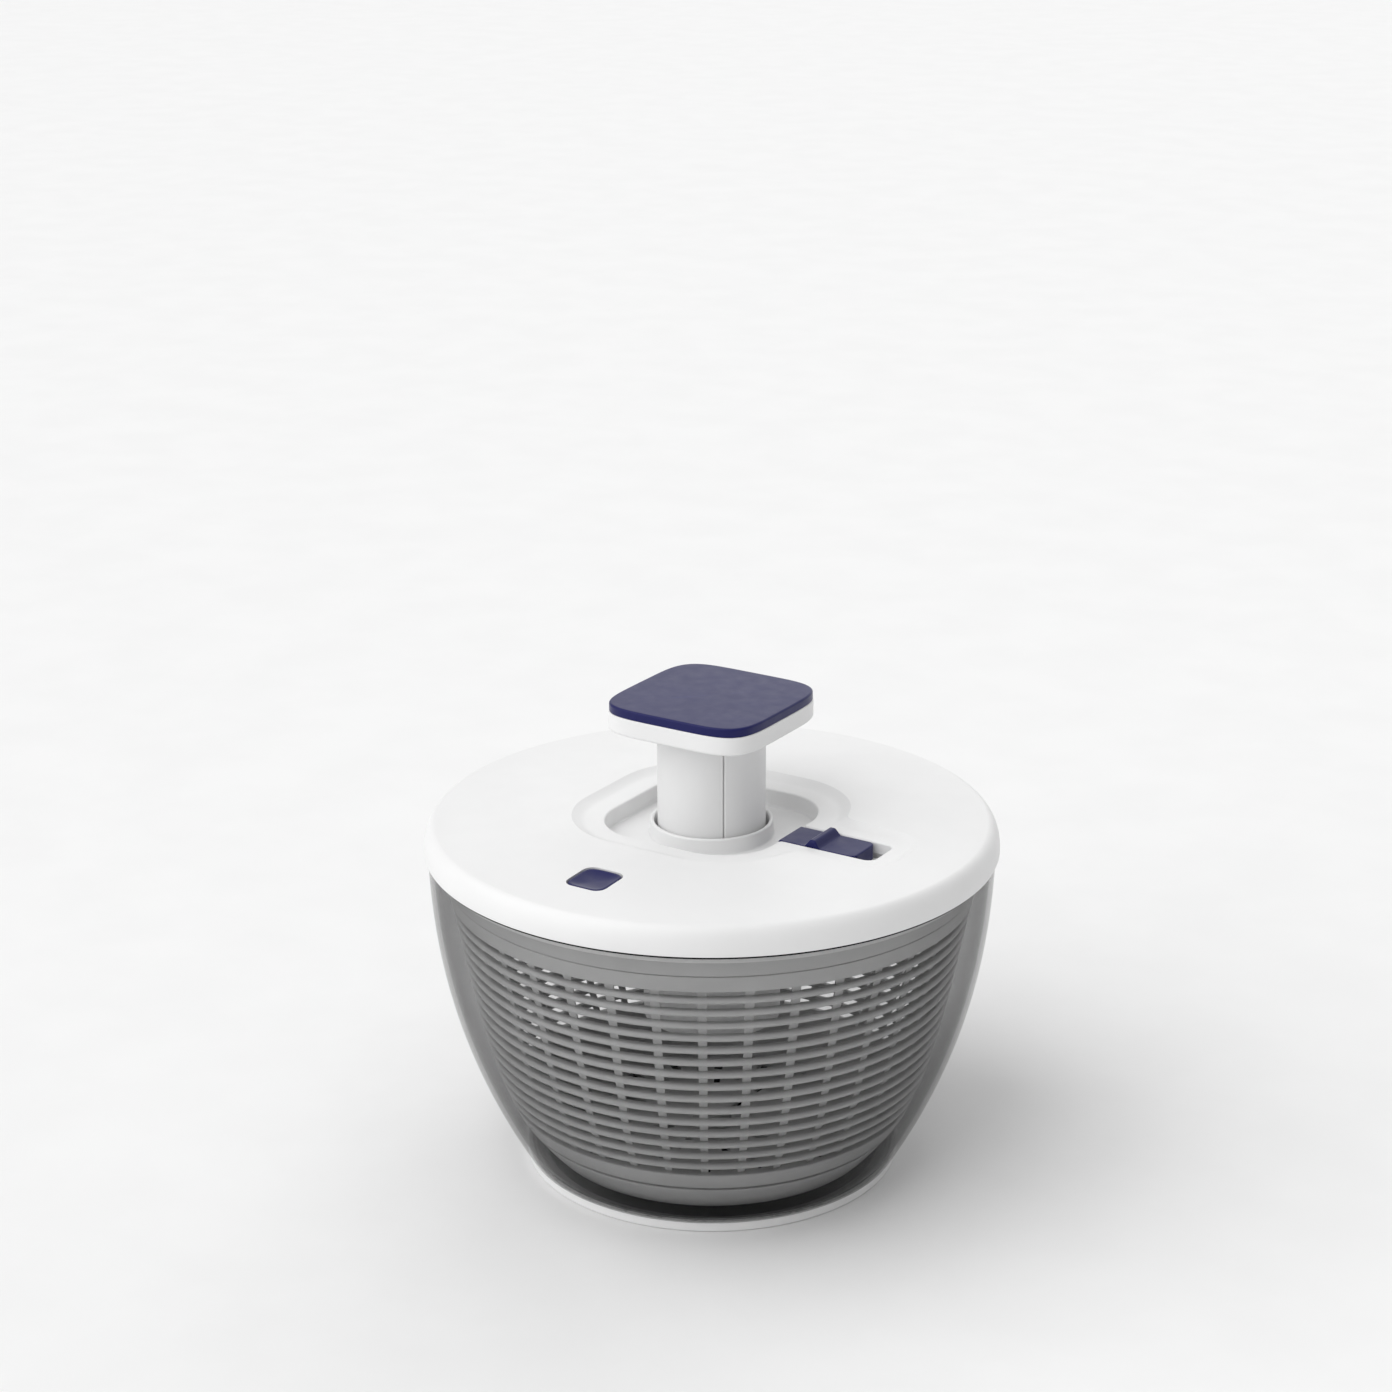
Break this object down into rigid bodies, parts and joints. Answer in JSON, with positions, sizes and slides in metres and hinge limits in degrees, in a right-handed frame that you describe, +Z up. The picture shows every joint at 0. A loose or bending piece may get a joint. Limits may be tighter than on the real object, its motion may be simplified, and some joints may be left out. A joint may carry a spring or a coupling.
{
  "type": "salad spinner",
  "caption": "Pump-action salad spinner: clear bowl on a foot ring, slotted basket on a pivot, and a lift-off lid with pump knob, lock slider and brake button.",
  "frame": {"origin": "on the surface it stands on, at the axis of the bowl", "axes": "+Z up along the bowl's axis; the lock slider lies towards +X and the brake button towards -Y"},
  "size_m": [0.26, 0.26, 0.2215],
  "materials": {
    "bowl_clear": "smoke-tinted clear plastic, polished",
    "white_plastic": "satin moulded plastic",
    "mechanism_plastic": "satin moulded plastic",
    "grey_plastic": "satin moulded plastic",
    "navy_plastic": "soft-touch satin",
    "grip_rubber": "matt, finely ribbed",
    "black_rubber": "matt",
    "acetal": "self-lubricating, satin",
    "steel": "stainless, drawn"
  },
  "bodies": {
    "bowl": {"bowl": "bowl_clear", "foot_ring": "white_plastic", "grip_ring": "grip_rubber", "non_slip_mat": "black_rubber", "pivot_pin": "steel"},
    "basket": {"basket": "grey_plastic", "basket_bush": "acetal"},
    "lid": {"lid_cover": "white_plastic", "lid_base": "mechanism_plastic", "lid_seal": "black_rubber", "lid_screws": "steel", "guide_bush": "white_plastic", "housing_cap": "mechanism_plastic", "thrust_washer": "steel", "return_spring": "steel", "slider_leaf_spring": "steel", "brake_spring": "steel"},
    "plunger": {"knob_pad": "navy_plastic", "knob_plate": "white_plastic", "knob_screws": "steel", "sleeve_front": "white_plastic", "sleeve_rear": "white_plastic", "stop_ring": "mechanism_plastic", "drive_nut": "acetal"},
    "rod": {"twist_rod": "steel", "ratchet_hub": "acetal", "ratchet_pawls": "acetal", "rotor_washer": "steel", "rotor_screw": "steel"},
    "rotor": {"rotor_disc": "mechanism_plastic", "rotor_cup": "mechanism_plastic", "ratchet_ring": "acetal"},
    "lock": {"lock_slider": "navy_plastic", "latch_bar": "steel"},
    "brake": {"brake_button": "navy_plastic", "brake_pad": "black_rubber"}
  },
  "joints": [
    {"name": "lid_lift", "type": "slide", "parent": "bowl", "child": "lid", "axis": [0, 0, 1], "range_m": [0, 0.1]},
    {"name": "basket_spin", "type": "hinge", "parent": "bowl", "child": "basket", "pos_m": [0, 0, 0], "axis": [0, 0, 1], "continuous": true},
    {"name": "rotor_spin", "type": "hinge", "parent": "lid", "child": "rotor", "pos_m": [0, 0, 0], "axis": [0, 0, 1], "continuous": true},
    {"name": "pump", "type": "slide", "parent": "lid", "child": "plunger", "axis": [0, 0, 1], "range_m": [-0.052, 0], "stiffness_N_per_m": 120, "springref_m": 0.03, "deforming": ["return_spring"]},
    {"name": "rod_spin", "type": "hinge", "parent": "lid", "child": "rod", "pos_m": [0, 0, 0], "axis": [0, 0, 1], "range_deg": [-1, 470]},
    {"name": "lock_slide", "type": "slide", "parent": "lid", "child": "lock", "axis": [1, 0, 0], "range_m": [-0.0026, 0.008]},
    {"name": "brake_press", "type": "slide", "parent": "lid", "child": "brake", "axis": [0, 0, 1], "range_m": [-0.002, 0], "stiffness_N_per_m": 600, "springref_m": 0.002, "deforming": ["brake_spring"]}
  ],
  "couplings": [
    {"joint": "rotor_spin", "follows": "basket_spin", "ratio": 1},
    {"joint": "rod_spin", "follows": "pump", "rad_per_m": -157.08}
  ]
}
